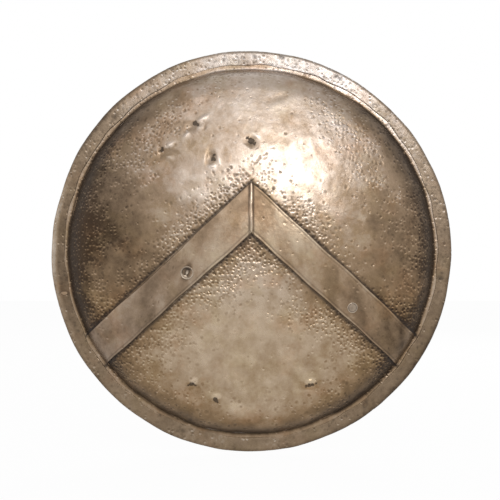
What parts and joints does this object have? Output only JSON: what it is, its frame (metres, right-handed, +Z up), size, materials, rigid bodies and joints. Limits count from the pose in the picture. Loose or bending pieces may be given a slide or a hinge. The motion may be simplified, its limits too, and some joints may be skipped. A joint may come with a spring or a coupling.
{
  "type": "hoplite aspis shield",
  "caption": "Round bowl-shaped shield of bronze-faced wood with a flat rim, a V of two bronze bands, an inner armband, a swinging hand grip and cord rings.",
  "frame": {"origin": "on the bowl's axis, in the plane of the rim's back face, where a wall or the holder's side begins", "axes": "+Y along the axis from the domed front to the hollow back, +Z up towards the tip of the V, +X to the right as seen from the front"},
  "size_m": [0.88, 0.1207, 0.88],
  "materials": {
    "facing_bronze": "hammered, brown patina, worn bright on the dome",
    "rim_bronze": "hammered, satin, brown patina",
    "band_bronze": "planished, satin, mottled",
    "rivet_bronze": "dark, worn",
    "fitting_bronze": "cast and filed, satin",
    "nail_bronze": "satin, domed",
    "ring_bronze": "satin, polished by wear",
    "core_wood": "planed poplar, oiled",
    "lining_leather": "waxed, creased",
    "sleeve_leather": "soft, dark from the arm",
    "grip_leather": "wound strip, polished by the hand"
  },
  "bodies": {
    "shield": {"core_board_1": "core_wood", "core_board_2": "core_wood", "core_board_3": "core_wood", "core_board_4": "core_wood", "core_board_5": "core_wood", "bronze_facing": "facing_bronze", "rim_binding": "rim_bronze", "leather_lining": "lining_leather", "chevron_band_left": "band_bronze", "chevron_band_right": "band_bronze", "mitre_seam": "band_bronze", "band_rivet_left": "rivet_bronze", "band_rivet_right": "rivet_bronze", "armband": "fitting_bronze", "grip_bracket_upper": "fitting_bronze", "grip_bracket_lower": "fitting_bronze", "armband_nail_1": "nail_bronze", "armband_nail_2": "nail_bronze", "armband_nail_3": "nail_bronze", "armband_nail_4": "nail_bronze", "armband_nail_5": "nail_bronze", "armband_nail_6": "nail_bronze", "armband_nail_7": "nail_bronze", "armband_nail_8": "nail_bronze", "grip_nail_1": "nail_bronze", "grip_nail_2": "nail_bronze", "grip_nail_3": "nail_bronze", "grip_nail_4": "nail_bronze", "armband_sleeve": "sleeve_leather", "ring_staple_upper_right": "ring_bronze", "ring_staple_upper_left": "ring_bronze", "ring_staple_lower_left": "ring_bronze", "ring_staple_lower_right": "ring_bronze", "ring_rosette_upper_right": "ring_bronze", "ring_rosette_upper_left": "ring_bronze", "ring_rosette_lower_left": "ring_bronze", "ring_rosette_lower_right": "ring_bronze"},
    "handle": {"hand_grip": "fitting_bronze", "grip_wrap": "grip_leather"},
    "cord_ring_upper_right": {"ring_upper_right": "ring_bronze"},
    "cord_ring_upper_left": {"ring_upper_left": "ring_bronze"},
    "cord_ring_lower_left": {"ring_lower_left": "ring_bronze"},
    "cord_ring_lower_right": {"ring_lower_right": "ring_bronze"}
  },
  "joints": [
    {"name": "grip_swing", "type": "hinge", "parent": "shield", "child": "handle", "pos_m": [-0.318, -0.05276, 0], "axis": [0, 0, 1], "range_deg": [-100, 70]},
    {"name": "ring_swing_upper_right", "type": "hinge", "parent": "shield", "child": "cord_ring_upper_right", "pos_m": [0.18526, -0.06953, 0.18526], "axis": [1, 0, 0], "range_deg": [-20, 180]},
    {"name": "ring_swing_upper_left", "type": "hinge", "parent": "shield", "child": "cord_ring_upper_left", "pos_m": [-0.18526, -0.06953, 0.18526], "axis": [1, 0, 0], "range_deg": [-20, 180]},
    {"name": "ring_swing_lower_left", "type": "hinge", "parent": "shield", "child": "cord_ring_lower_left", "pos_m": [-0.18526, -0.06953, -0.18526], "axis": [1, 0, 0], "range_deg": [-3, 180]},
    {"name": "ring_swing_lower_right", "type": "hinge", "parent": "shield", "child": "cord_ring_lower_right", "pos_m": [0.18526, -0.06953, -0.18526], "axis": [1, 0, 0], "range_deg": [-3, 180]}
  ]
}
